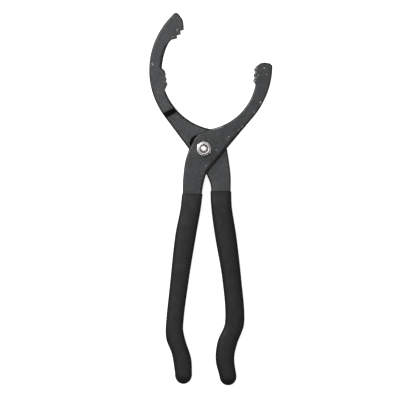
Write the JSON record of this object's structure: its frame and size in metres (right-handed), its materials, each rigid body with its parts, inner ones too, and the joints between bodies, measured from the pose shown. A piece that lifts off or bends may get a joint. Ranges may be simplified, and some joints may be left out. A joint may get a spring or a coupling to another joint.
{
  "type": "oil filter pliers",
  "caption": "Long slip-joint pliers with wide curved toothed jaws that grip and turn an oil filter, and dipped grips.",
  "frame": {"origin": "on the pivot axis, at the outer face of the pivot bolt's head", "axes": "+Y from the handles to the jaws, +X to the right handle's side, +Z along the pivot up through the nut"},
  "size_m": [0.1011, 0.306, 0.0248],
  "materials": {
    "front_steel": "matt black oxide on forged steel",
    "rear_steel": "matt black oxide on forged steel, a little lighter",
    "left_sleeve": "dipped black PVC",
    "right_sleeve": "dipped black PVC",
    "bolt_steel": "bright zinc plate",
    "washer_steel": "bright zinc plate",
    "nut_steel": "bright zinc plate",
    "nylon": "dark nylon"
  },
  "bodies": {
    "rear": {"rear_half": "rear_steel", "right_grip": "right_sleeve"},
    "slider": {"back_washer": "washer_steel"},
    "front": {"front_half": "front_steel", "left_grip": "left_sleeve", "pivot_bolt": "bolt_steel", "lock_nut": "nut_steel", "nut_insert": "nylon"}
  },
  "joints": [
    {"name": "slip_adjust", "type": "slide", "parent": "rear", "child": "slider", "axis": [0.972, 0.2351, 0], "range_m": [0, 0.0055]},
    {"name": "handle_pivot", "type": "hinge", "parent": "slider", "child": "front", "pos_m": [0, 0, 0.0032], "axis": [0, 0, -1], "range_deg": [-1, 80]}
  ]
}
